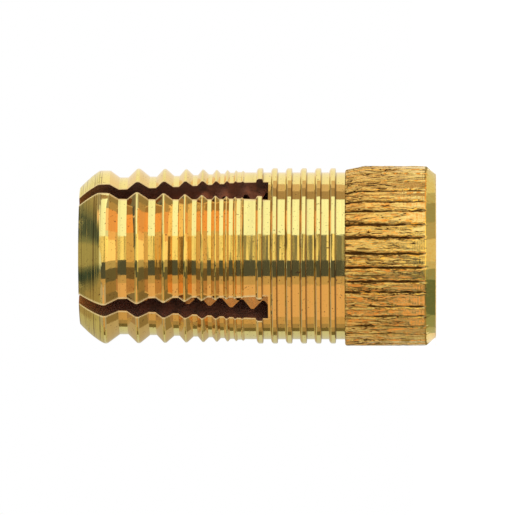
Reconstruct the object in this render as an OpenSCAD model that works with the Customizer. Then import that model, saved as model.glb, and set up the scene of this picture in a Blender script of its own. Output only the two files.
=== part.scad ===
// Brass expansion anchor: a threaded sleeve turned, sawn and knurled from one piece of bar.
// It stands on its head. The head's end face is z = 0, and the four legs point up along +Z.

/* [Anchor] */
// Length from the head's end face to the tips of the legs
anchor_len = 25; // [22:0.5:40]
// Diameter of the plain barrel that the ribs and ridges stand on
barrel_d = 11.74; // [11.2:0.02:12.4]

/* [Knurled head] */
// Length of the head along the axis, chamfer included
head_len = 6.38; // [5:0.02:8]
// Height of the knurled lands above the barrel
head_rise = 0.45; // [0.3:0.01:0.9]
// Length of the chamfer at the end face, along the axis
chamfer_len = 0.67; // [0.3:0.01:1.5]
// Depth of that chamfer, towards the axis
chamfer_depth = 0.6; // [0.3:0.01:0.75]
// Rounding of the head's edge at the shoulder
shoulder_edge_r = 0.12; // [0.05:0.01:0.25]
// Grooves rolled round the head
flute_count = 40; // [24:1:60]
// Depth of each groove
flute_depth = 0.2; // [0.1:0.01:0.25]
// Width of each groove at its mouth
flute_w = 0.22; // [0.14:0.01:0.4]

/* [Ribs round the barrel] */
// Distance from the shoulder to the middle of the first rib
first_rib = 0.83; // [0.6:0.01:2]
// Distance from one rib to the next
rib_pitch = 1.02; // [0.8:0.01:2]
// Height of a rib above the barrel
rib_h = 0.31; // [0.15:0.01:0.4]
// Width of a rib at its top
rib_top_w = 0.22; // [0.1:0.01:0.3]
// Run of its steep side, towards the head
rib_back_w = 0.1; // [0.04:0.01:0.16]
// Run of its rounded side, towards the legs
rib_front_w = 0.2; // [0.1:0.01:0.35]
// Plain stretch kept between the last rib and the ridges
rib_clear = 0.3; // [0.1:0.05:1]

/* [Gripping ridges] */
// Number of ridges
ridge_count = 9; // [3:1:10]
// Distance from the tips to the middle of the first ridge
first_ridge = 1.79; // [1.4:0.01:2.6]
// Distance from the first ridge to the second
ridge_pitch = 2.32; // [1.6:0.02:2.8]
// Size of each ridge and groove as a share of the one nearer the tips
ridge_ratio = 0.8; // [0.72:0.01:0.84]
// Height of the first ridge above the barrel
first_ridge_h = 0.3; // [0.1:0.01:0.4]
// Height of the last ridge above the barrel
last_ridge_h = 0.11; // [0.05:0.01:0.3]
// Width of the first ridge at its top
ridge_top_w = 0.24; // [0.1:0.01:0.4]
// Depth of the first groove below its ridge
first_groove_depth = 0.65; // [0.3:0.01:0.8]
// Depth of the last groove below its ridge
last_groove_depth = 0.1; // [0.05:0.01:0.2]
// Width of the first groove's floor
groove_floor_w = 0.6; // [0.2:0.01:0.9]
// Width that no groove's floor goes below, where there is room for it
least_floor_w = 0.27; // [0.1:0.01:0.35]
// Share of a groove's two flanks that the gentler one takes, on the tips' side
flank_share = 0.58; // [0.4:0.01:0.7]

/* [Legs] */
// Diameter over the tips of the legs
tip_d = 9.75; // [8.6:0.05:11]
// How far the cone from the tips to the first ridge swells above a straight one
nose_bulge = 0.1; // [0:0.01:0.15]
// Depth of the four slots from the tips
slot_len = 13.26; // [10:0.02:15]
// Width of a slot at its closed end, as it was sawn
slot_root_w = 1.96; // [1.2:0.02:2.6]
// Width of a slot at the tips, where the legs are pressed together
slot_tip_w = 0.78; // [0.4:0.02:1.6]

/* [Threaded hole] */
// Diameter of the hole over the crests of its thread
hole_d = 8.5; // [7.6:0.02:9]
// Diameter over the crests where the legs begin, just past the closed ends of the slots
hole_leg_d = 7.9; // [7.4:0.02:8]
// Diameter of the hole between the tips of the legs
hole_tip_d = 6.8; // [5.6:0.05:7.3]
// Diameter of the countersink in the end face
mouth_d = 10.3; // [9.2:0.05:10.5]
// Depth of that countersink
mouth_len = 0.6; // [0.3:0.05:1.2]

/* [Hidden] */
$fn = 96;

// How far a cutter reaches past the metal that it cuts
past = 0.5;
// How far the flute cutter runs off the shoulder
flute_run_off = 0.1;
// Length of the cone that brings the hole down to its width between the legs
hole_step = 0.3;
// Most that a groove's floor may take of the distance between its two ridges
most_floor_share = 0.6;
// Straight steps that an arc in the profile is drawn with
edge_steps = 4;
nose_steps = 8;

barrel_r = barrel_d / 2;
head_r = barrel_r + head_rise;
slot_root_z = anchor_len - slot_len;
last_ridge = ridge_count - 1;

// Scale of ridge i, and of the groove on its head side, against the first
function ridge_scale(i) = pow(ridge_ratio, i);

// Height along the axis of ridge i's middle: the steps form a geometric series
function ridge_z(i) =
    anchor_len - first_ridge - ridge_pitch * (1 - ridge_scale(i)) / (1 - ridge_ratio);

// Half the width of ridge i's top, and its radius
function half_top(i) = ridge_top_w * ridge_scale(i) / 2;
function ridge_r(i) = barrel_r + first_ridge_h + (last_ridge_h - first_ridge_h) * i / last_ridge;

// The groove between ridge i and ridge i + 1: depth, width of its floor, and what its flanks take
function groove_depth(i) =
    first_groove_depth + (last_groove_depth - first_groove_depth) * i / (last_ridge - 1);
function ridge_step(i) = ridge_z(i) - ridge_z(i + 1);
function floor_w(i) =
    min(max(groove_floor_w * ridge_scale(i), least_floor_w), most_floor_share * ridge_step(i));
function flanks(i) = ridge_step(i) - half_top(i) - half_top(i + 1) - floor_w(i);
function floor_r(i) = ridge_r(i) - groove_depth(i);

// The last ridge falls to the barrel at 45 degrees
ridges_end_z = ridge_z(last_ridge) - half_top(last_ridge) - last_ridge_h;

// As many ribs as fit between the shoulder and the ridges
first_rib_z = head_len + first_rib;
rib_room = ridges_end_z - rib_clear - rib_top_w / 2 - rib_front_w - first_rib_z;
rib_count = 1 + floor(rib_room / rib_pitch);

// The profile's stretches, as [radius, height] from the head to the tips
head_profile = concat(
    [[0, 0], [head_r - chamfer_depth, 0], [head_r, chamfer_len]],
    [for (k = [0 : edge_steps])
        let (a = 90 * k / edge_steps)
        [head_r - shoulder_edge_r * (1 - cos(a)), head_len - shoulder_edge_r * (1 - sin(a))]],
    [[barrel_r, head_len]]
);

rib_profile = [
    for (k = [0 : rib_count - 1])
        let (z = first_rib_z + k * rib_pitch, half = rib_top_w / 2)
        each concat(
            [[barrel_r, z - half - rib_back_w], [barrel_r + rib_h, z - half]],
            [for (step = [0 : edge_steps])
                let (a = 90 * step / edge_steps)
                [barrel_r + rib_h * cos(a), z + half + rib_front_w * sin(a)]]
        )
];

function ridge_top(i) = [
    [ridge_r(i), ridge_z(i) - half_top(i)],
    [ridge_r(i), ridge_z(i) + half_top(i)]
];

function groove_floor(i) = [
    [floor_r(i), ridge_z(i + 1) + half_top(i + 1) + flanks(i) * (1 - flank_share)],
    [floor_r(i), ridge_z(i) - half_top(i) - flanks(i) * flank_share]
];

ridge_profile = concat(
    [[barrel_r, ridges_end_z]],
    ridge_top(last_ridge),
    [for (i = [last_ridge - 1 : -1 : 0]) each concat(groove_floor(i), ridge_top(i))]
);

nose_start = [ridge_r(0), ridge_z(0) + half_top(0)];
nose_end = [tip_d / 2, anchor_len];
nose_profile = concat(
    [for (k = [1 : nose_steps])
        let (t = k / nose_steps)
        nose_start + (nose_end - nose_start) * t + [4 * nose_bulge * t * (1 - t), 0]],
    [[0, anchor_len]]
);

// The bar as it leaves the lathe: head, ribs, ridges and nose, still solid
module turned_blank() {
    rotate_extrude()
        polygon(concat(head_profile, rib_profile, ridge_profile, nose_profile));
}

// The hole: countersink, threaded stretch, and a narrower taper between the legs, which a screw spreads
module through_hole() {
    rotate_extrude()
        polygon([
            [0, -past],
            [mouth_d / 2, -past],
            [mouth_d / 2, 0],
            [hole_d / 2, mouth_len],
            [hole_d / 2, slot_root_z],
            [hole_leg_d / 2, slot_root_z + hole_step],
            [hole_tip_d / 2, anchor_len],
            [hole_tip_d / 2, anchor_len + past],
            [0, anchor_len + past]
        ]);
}

// One saw cut across the sleeve makes two slots, wide at the root and narrow at the tips
module saw_cut() {
    end_w = slot_tip_w - (slot_root_w - slot_tip_w) * past / slot_len;
    rotate([90, 0, 90])
        linear_extrude(height = 2 * head_r + 2 * past, center = true)
            polygon([
                [-slot_root_w / 2, slot_root_z],
                [slot_root_w / 2, slot_root_z],
                [end_w / 2, anchor_len + past],
                [-end_w / 2, anchor_len + past]
            ]);
}

// One straight groove of the knurl, running off the head at both ends
module flute() {
    mouth = flute_w / 2 * (flute_depth + past) / flute_depth;
    translate([head_r - flute_depth, 0, -past])
        linear_extrude(height = past + head_len + flute_run_off)
            polygon([[0, 0], [flute_depth + past, -mouth], [flute_depth + past, mouth]]);
}

module anchor_sleeve() {
    color([0.83, 0.66, 0.36])
        difference() {
            turned_blank();
            through_hole();
            for (turn = [0, 90])
                rotate([0, 0, turn])
                    saw_cut();
            for (k = [0 : flute_count - 1])
                rotate([0, 0, (k + 0.5) * 360 / flute_count])
                    flute();
        }
}

anchor_sleeve();
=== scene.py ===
# %% [markdown]
# # A knurled brass anchor
# The real thing is one piece of brass bar. A lathe turns its outside, a wheel rolls a knurl into its
# head, a drill and a tap make the hole, and a saw splits one end into four legs, which are then pressed
# together a little. The script works in that order too, because each tool leaves its own kind of surface.
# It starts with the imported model, which gives the size and the place that everything here has to keep.

# %% Load the frame
import math

import bpy
import numpy as np
from mathutils import Matrix, Vector


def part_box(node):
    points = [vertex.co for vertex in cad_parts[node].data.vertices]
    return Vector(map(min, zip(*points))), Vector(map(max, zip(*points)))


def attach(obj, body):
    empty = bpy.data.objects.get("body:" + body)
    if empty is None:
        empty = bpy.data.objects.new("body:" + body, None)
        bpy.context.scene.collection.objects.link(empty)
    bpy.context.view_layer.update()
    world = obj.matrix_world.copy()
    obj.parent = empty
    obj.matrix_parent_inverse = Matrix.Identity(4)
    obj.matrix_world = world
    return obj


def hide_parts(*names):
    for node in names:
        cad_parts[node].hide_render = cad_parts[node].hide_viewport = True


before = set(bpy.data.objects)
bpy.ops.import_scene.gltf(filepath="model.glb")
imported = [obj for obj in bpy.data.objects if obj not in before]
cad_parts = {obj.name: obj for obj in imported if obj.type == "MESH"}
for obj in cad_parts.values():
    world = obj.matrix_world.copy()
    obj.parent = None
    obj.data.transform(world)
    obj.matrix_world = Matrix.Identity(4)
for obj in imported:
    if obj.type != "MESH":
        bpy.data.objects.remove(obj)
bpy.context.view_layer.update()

MM = 0.001
low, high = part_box("anchor_sleeve")
print("the anchor's box, in mm:", [round(v / MM, 2) for v in (*low, *high)])

# %% [markdown]
# ## The sizes
# All lengths are in millimetres here and are turned into metres when a mesh is made. The anchor stands on
# its head, so the head's end face is at height 0 and the legs point up. The two saw cuts run along X and
# along Y.

# %% Sizes of the anchor
LENGTH = 25.0
BARREL_R = 5.87
HEAD_LEN = 6.38
HEAD_R = 6.32
CHAMFER_LEN, CHAMFER_DEPTH = 0.67, 0.6
SLOT_LEN, SLOT_ROOT_W, SLOT_TIP_W = 13.26, 1.96, 0.78
SLOT_ROOT_Z = LENGTH - SLOT_LEN
HOLE_R, HOLE_LEG_R, HOLE_TIP_R = 4.25, 3.95, 3.4
HOLE_STEP = 0.3
MOUTH_R, MOUTH_LEN = 5.15, 0.6
PAST = 0.5  # how far a tool reaches beyond the metal that it cuts
print("slots reach down to", SLOT_ROOT_Z, "mm")

# %% [markdown]
# ## The camera
# The anchor lies on its side in the picture, so the camera looks level at it and is rolled until the
# anchor's axis runs from right to left. A long lens from far away keeps the round end almost straight.

# %% Camera
CAMERA_TURN = math.radians(-51.5)
CAMERA_FAR, CAMERA_HEIGHT, AIM_HEIGHT = 620, 1.8, 12.55
FIELD, SENSOR_W = 36.22, 36
CLIP_START, CLIP_END = 0.01, 10
PICTURE_PX, AXIS_ABOVE_CENTRE_PX = 515, 1.7

sight = Vector((math.cos(CAMERA_TURN), math.sin(CAMERA_TURN), 0))
spot = (sight * CAMERA_FAR + Vector((0, 0, CAMERA_HEIGHT))) * MM
target = Vector((0, 0, AIM_HEIGHT * MM))
back = (spot - target).normalized()
right = Vector((0, 0, -1)) - back * back.dot(Vector((0, 0, -1)))
right.normalize()
up = back.cross(right)
lens = bpy.data.cameras.new("camera")
camera = bpy.data.objects.new("camera", lens)
bpy.context.scene.collection.objects.link(camera)
camera.matrix_world = Matrix.Translation(spot) @ Matrix((right, up, back)).transposed().to_4x4()
lens.sensor_width = SENSOR_W
lens.lens = SENSOR_W * CAMERA_FAR / FIELD
lens.shift_y = -AXIS_ABOVE_CENTRE_PX / PICTURE_PX
lens.clip_start, lens.clip_end = CLIP_START, CLIP_END
bpy.context.scene.camera = camera
print("lens", round(lens.lens), "mm")

# %% [markdown]
# ## Helpers for node trees
# A long node tree is easier to read when each node is one line of code. `add` makes a node, fills its
# sockets in order with numbers or with other nodes' outputs, and hands back the output to go on with.

# %% Node helpers
def add(tree, kind, *values, out=0, **settings):
    """Adds a node, sets its sockets in order and hands back one of its outputs."""
    made = tree.nodes.new(kind)
    for key, value in settings.items():
        setattr(made, key, value)
    sockets = [s for s in made.inputs if s.enabled]
    for socket, value in zip(sockets, values):
        if isinstance(value, bpy.types.NodeSocket):
            tree.links.new(value, socket)
        elif value is not None:
            socket.default_value = value
    outputs = [s for s in made.outputs if s.enabled]
    return outputs[out] if outputs else made


SIGNS = {"+": "ADD", "-": "SUBTRACT", "*": "MULTIPLY", "/": "DIVIDE"}


def maths(tree):
    """Returns a function that adds Math nodes to this tree: do("+", a, b) or do("MAXIMUM", a, b)."""
    return lambda sign, *values: add(tree, "ShaderNodeMath", *values, operation=SIGNS.get(sign, sign))


def ramp(tree, value, low, high, start=0.0, end=1.0):
    """While the value goes from low to high, the result goes from start to end and stops there."""
    return add(tree, "ShaderNodeMapRange", value, low, high, start, end)


def vector(tree, x, y, z):
    return add(tree, "ShaderNodeCombineXYZ", x, y, z)


def xyz(tree, value):
    """The three parts of a vector."""
    return add(tree, "ShaderNodeSeparateXYZ", value).node.outputs


def new_tree(name, kind, inputs, outputs):
    """A node group with named sockets: its input sockets, its output sockets, and itself. A socket is given
    by its type and value, or by a value alone if it is a Float."""
    tree = bpy.data.node_groups.new(name, kind)
    for side, sockets in (("INPUT", inputs), ("OUTPUT", outputs)):
        for label, socket in sockets.items():
            socket_type, value = socket if isinstance(socket, tuple) else ("Float", socket)
            made = tree.interface.new_socket(label, in_out=side, socket_type="NodeSocket" + socket_type)
            if value is not None and side == "INPUT":
                made.default_value = value
    inlet = tree.nodes.new("NodeGroupInput").outputs
    outlet = tree.nodes.new("NodeGroupOutput").inputs
    print("tree", name, "with the inputs", ", ".join(inputs))
    return tree, inlet, outlet


# %% Helper that runs a tree on a mesh
def plain_object(name, vertices, edges=(), faces=()):
    mesh = bpy.data.meshes.new(name)
    mesh.from_pydata([Vector(v) * MM for v in vertices], edges, faces)
    made = bpy.data.objects.new(name, mesh)
    bpy.context.scene.collection.objects.link(made)
    return made


def settle(thing):
    """Turns an object and its live modifiers into one plain mesh."""
    depsgraph = bpy.context.evaluated_depsgraph_get()
    mesh = bpy.data.meshes.new_from_object(
        thing.evaluated_get(depsgraph), preserve_all_data_layers=True, depsgraph=depsgraph
    )
    thing.modifiers.clear()
    thing.data = mesh
    mesh.name = thing.name
    print(f"{thing.name}: {len(mesh.vertices)} vertices, {len(mesh.polygons)} faces")
    return thing


def grow(thing, tree, sizes):
    """Runs a Geometry Nodes tree on an object. Inputs are set by their sockets' identifiers."""
    modifier = thing.modifiers.new(tree.name, "NODES")
    modifier.node_group = tree
    for item in tree.interface.items_tree:
        if item.in_out == "INPUT" and item.name in sizes:
            modifier[item.identifier] = sizes[item.name]
    return settle(thing)


# %% [markdown]
# ## Finishes as names first
# Each tool leaves its own surface, so there are four brass finishes. They start empty here, because the
# shapes have to know which finish goes on which face. Their nodes come later.

# %% Four finishes
def finish_named(name):
    made = bpy.data.materials.new(name)
    made.use_nodes = True
    return made


turned = finish_named("brass_turned")
knurled = finish_named("brass_knurled")
sawn = finish_named("brass_sawn")
tapped = finish_named("brass_tapped")

# %% [markdown]
# ## The profile that the lathe follows
# A lathe piece is a line, turned about an axis. The ridges get smaller and closer together towards the
# head by one fixed ratio, and six ribs stand at even steps behind them. A rib isn't the same on both
# sides: the tool left a steep side towards the head and a long one towards the legs.

# %% Ridges
RIDGES = 9
FIRST_RIDGE, RIDGE_PITCH, RIDGE_RATIO = 1.79, 2.32, 0.8
FIRST_RIDGE_H, LAST_RIDGE_H = 0.3, 0.11
RIDGE_TOP_W, TOP_DROP, TOP_FLAT = 0.24, 0.35, 0.5
FIRST_GROOVE_D, LAST_GROOVE_D = 0.65, 0.1
GROOVE_FLOOR_W, LEAST_FLOOR_W, MOST_FLOOR_SHARE = 0.6, 0.27, 0.6
FLANK_SHARE = 0.58


def ridge(i):
    """Height along the axis, radius and half the top's width of ridge i, counted from the tips."""
    scale = RIDGE_RATIO**i
    z = LENGTH - FIRST_RIDGE - RIDGE_PITCH * (1 - scale) / (1 - RIDGE_RATIO)
    r = BARREL_R + FIRST_RIDGE_H + (LAST_RIDGE_H - FIRST_RIDGE_H) * i / (RIDGES - 1)
    return z, r, RIDGE_TOP_W * scale / 2


def ridge_top(i):
    """A narrow flat with a bevel on both sides."""
    z, r, half = ridge(i)
    drop, flat = half * TOP_DROP, half * TOP_FLAT
    return [(r - drop, z - half - drop), (r, z - flat), (r, z + flat), (r - drop, z + half + drop)]


def groove_floor(i):
    """The floor between ridge i and ridge i + 1."""
    z, r, half = ridge(i)
    z_next, _, half_next = ridge(i + 1)
    depth = FIRST_GROOVE_D + (LAST_GROOVE_D - FIRST_GROOVE_D) * i / (RIDGES - 2)
    width = min(max(GROOVE_FLOOR_W * RIDGE_RATIO**i, LEAST_FLOOR_W), MOST_FLOOR_SHARE * (z - z_next))
    flanks = z - z_next - half - half_next - width
    start = z_next + half_next + flanks * (1 - FLANK_SHARE)
    return [(r - depth, start), (r - depth, start + width)]


# %% Ribs, nose and the whole profile
FIRST_RIB, RIB_PITCH, RIBS = 0.83, 1.02, 6
# a rib's section: distance along the axis from its middle, and height above the barrel
RIB_SHAPE = [(-0.2, 0), (-0.17, 0.24), (-0.13, 0.3), (-0.06, 0.325), (0.03, 0.325), (0.11, 0.31),
             (0.18, 0.27), (0.24, 0.2), (0.28, 0.11), (0.3, 0)]
NOSE_STEPS, NOSE_BULGE, TIP_R, TIP_EDGE = 10, 0.1, 4.875, 0.06
HEAD_OVERLAP = 0.5
WORN_DEPTH, WORN_MARGIN = 0.16, 0.02


def worn_foot(foot, crest):
    """The point of a flank that lies as deep as the first ridge is worn on one side."""
    rise = crest[0] - foot[0]
    t = (rise - WORN_DEPTH + WORN_MARGIN) / rise
    return (foot[0] + rise * t, foot[1] + (crest[1] - foot[1]) * t)


def sleeve_profile():
    """Radius and height of each point, from inside the head to the tips."""
    line = [(0, HEAD_LEN - HEAD_OVERLAP), (BARREL_R, HEAD_LEN - HEAD_OVERLAP)]
    for k in range(RIBS):
        centre = HEAD_LEN + FIRST_RIB + k * RIB_PITCH
        line += [(BARREL_R + h, centre + dz) for dz, h in RIB_SHAPE]
    z, r, half = ridge(RIDGES - 1)
    line += [(BARREL_R, z - half - LAST_RIDGE_H)] + ridge_top(RIDGES - 1)
    for i in range(RIDGES - 2, -1, -1):
        line += groove_floor(i)
        if i == 0:
            line.append(worn_foot(line[-1], ridge_top(0)[0]))
        line += ridge_top(i)
    z, r, half = ridge(0)
    for k in range(1, NOSE_STEPS + 1):
        t = k / NOSE_STEPS
        bulge = 4 * NOSE_BULGE * t * (1 - t)
        line.append((r + (TIP_R - r) * t + bulge, z + half + (LENGTH - TIP_EDGE - z - half) * t))
    return line + [(TIP_R - TIP_EDGE, LENGTH), (0, LENGTH)]


profile = sleeve_profile()
print("profile of", len(profile), "points")

# %% [markdown]
# ## A tree that turns a profile
# The tree makes a flat grid with one row for each point of the profile and one column for each step of
# the turn, then moves every point to its place round the axis. Where a saw will cut, the columns stand
# closer together, so that the metal there can be raised into the burr that a saw leaves. A little noise
# makes each line waver as a hand-fed tool does.

# %% Shared parts of the trees
MERGE_WITHIN = 0.002


def lathe_grid(tree, profile_mesh, columns):
    """Adds a grid of rows and columns. Returns it with its row's radius and height and its column."""
    do = maths(tree)
    rows = add(tree, "GeometryNodeAttributeDomainSize", profile_mesh, component="MESH")
    across = do("+", columns, 1)
    grid = add(tree, "GeometryNodeMeshGrid", 1.0, 1.0, rows, across)
    index = add(tree, "GeometryNodeInputIndex")
    row = do("FLOOR", do("/", do("+", index, 0.5), across))
    column = do("-", index, do("*", row, across))
    place = add(tree, "GeometryNodeInputPosition")
    sampled = add(tree, "GeometryNodeSampleIndex", profile_mesh, place, row,
                  data_type="FLOAT_VECTOR", domain="POINT")
    split = xyz(tree, sampled)
    return grid, split[0], split[2], column


def end_tree(tree, mesh, material, outlet):
    """A mesh tree's last two nodes make instances real and set the finish."""
    real = add(tree, "GeometryNodeRealizeInstances", mesh)
    tree.links.new(add(tree, "GeometryNodeSetMaterial", real, True, material), outlet[0])


def lathe_end(tree, grid, radius, angle, height, material, outlet):
    """Moves the grid's points round the axis, closes the seam and hands the mesh over."""
    do = maths(tree)
    x = do("*", radius, do("COSINE", angle))
    y = do("*", radius, do("SINE", angle))
    place = vector(tree, x, y, height)
    moved = add(tree, "GeometryNodeSetPosition", grid, True, place)
    closed = add(tree, "GeometryNodeMergeByDistance", moved, True, MERGE_WITHIN * MM)
    end_tree(tree, add(tree, "GeometryNodeFlipFaces", closed), material, outlet)


def noise_at(tree, where, per_mm, detail, seed):
    """Noise between -1 and 1, from a vector in millimetres. The seed moves to another part of it."""
    value = add(tree, "ShaderNodeTexNoise", where, seed, per_mm, detail, noise_dimensions="4D")
    return maths(tree)("MULTIPLY_ADD", value, 2.0, -1.0)


# %% The turned sleeve's tree: inputs and grid
WORN_TURN, WORN_REACH = 75, 1.0
TURNED = {
    "Profile": ("Geometry", None),
    "Columns": ("Int", 224),
    "Slot Root Width": SLOT_ROOT_W * MM,
    "Slot Tip Width": SLOT_TIP_W * MM,
    "Slot Root Height": SLOT_ROOT_Z * MM,
    "Length": LENGTH * MM,
    "Burr": 0.03 * MM,
    "Waver": 0.012 * MM,
    "Worn Depth": WORN_DEPTH * MM,
    "Worn Radius": (BARREL_R + FIRST_RIDGE_H) * MM,
    "Worn Side": CAMERA_TURN + math.radians(WORN_TURN),
    "Worn From": (LENGTH - FIRST_RIDGE - WORN_REACH) * MM,
    "Worn Slope": 0.01,
    "Seed": 3.0,
    "Finish": ("Material", None),
}
tree, inlet, outlet = new_tree("turned_sleeve", "GeometryNodeTree", TURNED, {"Mesh": ("Geometry", None)})
do = maths(tree)
grid, radius, height, column = lathe_grid(tree, inlet["Profile"], inlet["Columns"])

# %% The turned sleeve's tree: columns that crowd at the saw cuts
# a column's place within its quarter, from -1 to 1 with the slot's middle at 0
quarters = do("/", column, do("/", inlet["Columns"], 4.0))
quarter = do("FLOOR", do("+", quarters, 0.5))
side = do("*", do("-", quarters, quarter), 2.0)
share = do("ABSOLUTE", side)

# half the slot's width at this height, as an angle at this radius
LEAST_R, EDGE_REACH = 3, 0.16
up_slot = ramp(tree, height, inlet["Slot Root Height"], inlet["Length"])
slot_w = ramp(tree, up_slot, 0.0, 1.0, inlet["Slot Root Width"], inlet["Slot Tip Width"])
big_radius = do("MAXIMUM", radius, LEAST_R * MM)
slot_angle = do("ARCSINE", do("/", do("*", 0.5, slot_w), big_radius))
reach_angle = do("/", EDGE_REACH * MM, big_radius)

# a tenth of the columns lie in the slot, a third at its edge, and the rest share the leg
IN_SLOT, AT_EDGE = 0.1, 0.42
first = ramp(tree, share, 0.0, IN_SLOT, 0.0, do("-", slot_angle, reach_angle))
second = ramp(tree, share, IN_SLOT, AT_EDGE, 0.0, do("*", reach_angle, 2.0))
rest = do("-", math.pi / 4, do("+", slot_angle, reach_angle))
third = ramp(tree, share, AT_EDGE, 1.0, 0.0, rest)
offset = do("+", do("+", first, second), third)
angle = do("+", do("*", quarter, math.pi / 2), do("*", do("SIGN", side), offset))

# %% The turned sleeve's tree: waver and burr
# noise is read at the place before the changes, in millimetres
before = vector(tree, do("*", do("COSINE", angle), BARREL_R),
                do("*", do("SINE", angle), BARREL_R), do("/", height, MM))
waver = noise_at(tree, before, per_mm=0.9, detail=3.0, seed=inlet["Seed"])
ragged = noise_at(tree, before, per_mm=6.0, detail=2.0, seed=do("+", inlet["Seed"], 9.0))

# the burr stands on the slot's edge, from just below the slot's closed end up to the tips
BURR_MIDDLE, BURR_HALF_W, BURR_BELOW = 0.07, 0.1, 0.05
BURR_SWING, BURR_MEAN = 0.7, 0.6
from_edge = do("-", do("*", offset, big_radius),
               do("+", do("*", slot_angle, big_radius), BURR_MIDDLE * MM))
lip = ramp(tree, do("ABSOLUTE", from_edge), 0.0, BURR_HALF_W * MM, 1.0, 0.0)
burr_from = do("-", inlet["Slot Root Height"], BURR_BELOW * MM)
lip = do("*", lip, ramp(tree, height, burr_from, inlet["Slot Root Height"]))
burr = do("*", inlet["Burr"], do("MULTIPLY_ADD", ragged, BURR_SWING, BURR_MEAN))
burr = do("*", lip, burr)

# %% The turned sleeve's tree: wear, and the end
# the first ridge is worn flat on one side, where it was rolled over
WEAR_SWING, WEAR_MEAN = 0.85, 0.25
facing = do("COSINE", do("-", angle, inlet["Worn Side"]))
worn_share = do("MULTIPLY_ADD", facing, WEAR_SWING, WEAR_MEAN)
worn_share = do("MINIMUM", do("MAXIMUM", worn_share, 0.0), 1.0)
worn_share = do("*", worn_share, do("GREATER_THAN", height, inlet["Worn From"]))
worn_fall = do("MAXIMUM", do("-", height, inlet["Worn From"]), 0.0)
worn_fall = do("*", inlet["Worn Slope"], worn_fall)
worn_depth = do("*", worn_share, do("+", inlet["Worn Depth"], worn_fall))
worn = do("MINIMUM", radius, do("-", inlet["Worn Radius"], worn_depth))

# only the outside wavers, and less across the axis than along it
SKIN_FROM, SKIN_FULL, ACROSS_SHARE = 4.6, 4.9, 0.4
on_skin = ramp(tree, radius, SKIN_FROM * MM, SKIN_FULL * MM)
raised = do("+", burr, do("*", waver, do("*", inlet["Waver"], ACROSS_SHARE)))
wide = do("+", worn, do("*", on_skin, raised))
tall = do("+", height, do("*", on_skin, do("*", waver, inlet["Waver"])))
tall = do("MINIMUM", tall, inlet["Length"])
marked = add(tree, "GeometryNodeStoreNamedAttribute", grid, True, "burr", lip,
             data_type="FLOAT", domain="POINT")
lathe_end(tree, marked, wide, angle, tall, inlet["Finish"], outlet)
turned_tree = tree

# %% Turn the sleeve
def line_object(name, line):
    return plain_object(name, [(r, 0, z) for r, z in line], [(i, i + 1) for i in range(len(line) - 1)])


sleeve = grow(line_object("brass_sleeve", profile), turned_tree, {"Finish": turned})

# %% [markdown]
# ## The knurled head
# A knurling wheel presses forty straight grooves into the head. It slips and tears the metal as it goes,
# so the grooves wander, and the lands between them are scored by finer ripples, most of all near the
# shoulder. All of that follows the angle and the height, so it fits in one tree with the same start.

# %% Profile of the head
HEAD_ROWS, CHAMFER_STEPS = 44, (0.33, 0.66, 1.0)
SHOULDER_EDGE, CORNER_SHARE, SHOULDER_IN = 0.12, 0.3, 2.5
LIP = 0.03
face_r = HEAD_R - CHAMFER_DEPTH
land_r = HEAD_R - LIP
head_line = [(0, 0), (face_r, 0)]
head_line += [(land_r + (face_r - land_r) * (1 - t), CHAMFER_LEN * t) for t in CHAMFER_STEPS]
head_line += [(land_r, CHAMFER_LEN + (HEAD_LEN - SHOULDER_EDGE - CHAMFER_LEN) * k / HEAD_ROWS)
              for k in range(1, HEAD_ROWS + 1)]
head_line += [(land_r - SHOULDER_EDGE * CORNER_SHARE, HEAD_LEN - SHOULDER_EDGE * CORNER_SHARE),
              (land_r - SHOULDER_EDGE, HEAD_LEN),
              (land_r - SHOULDER_IN * SHOULDER_EDGE, HEAD_LEN),
              (0, HEAD_LEN)]
print("head's profile of", len(head_line), "points")

# %% The knurl's tree: inputs and grid
SAG, SAG_FROM, SAG_SIDE = 0.28, 5.0, CAMERA_TURN + math.radians(80)
KNURL = {
    "Profile": ("Geometry", None),
    "Columns": ("Int", 720),
    "Grooves": 40.0,
    "Groove Depth": 0.19 * MM,
    "Groove Half Width": 0.12 * MM,
    "Ripple": 0.2 * MM,
    "Sag": SAG * MM,
    "Sag Side": SAG_SIDE,
    "Lip": LIP * MM,
    "Seed": 11.0,
    "Finish": ("Material", None),
}
tree, inlet, outlet = new_tree("knurled_head", "GeometryNodeTree", KNURL, {"Mesh": ("Geometry", None)})
do = maths(tree)
grid, radius, height, column = lathe_grid(tree, inlet["Profile"], inlet["Columns"])
turn = do("/", column, inlet["Columns"])
angle = do("*", turn, 2 * math.pi)
flat_x, flat_y = (do("*", do(trig, angle), HEAD_R) for trig in ("COSINE", "SINE"))
height_mm = do("/", height, MM)


def head_noise(per_mm, detail, seed_step, stretch=1.0):
    """Noise on the head's surface. A stretch below 1 draws it out along the axis."""
    where = vector(tree, flat_x, flat_y, do("*", height_mm, stretch))
    return noise_at(tree, where, per_mm, detail, do("+", inlet["Seed"], seed_step))


# %% The knurl's tree: grooves that wander
# how far this point is from the middle of its groove, in metres
JAG_SHARE, WANDER_BY = 0.4, 0.14
OWN_SHIFT, OWN_SEED = 0.12, 5
wander = head_noise(per_mm=0.9, detail=4.0, seed_step=0.0)
wander = do("MULTIPLY_ADD", head_noise(per_mm=3.4, detail=1.0, seed_step=6.0), JAG_SHARE, wander)
cell = do("+", do("*", turn, inlet["Grooves"]), do("*", wander, WANDER_BY))
own = add(tree, "FunctionNodeRandomValue", -OWN_SHIFT, OWN_SHIFT, do("FLOOR", cell), OWN_SEED,
          data_type="FLOAT")
off = do("-", do("FRACT", cell), do("+", 0.5, own))
land_w = do("/", 2 * math.pi * HEAD_R * MM, inlet["Grooves"])
off = do("ABSOLUTE", do("*", off, land_w))

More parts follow.
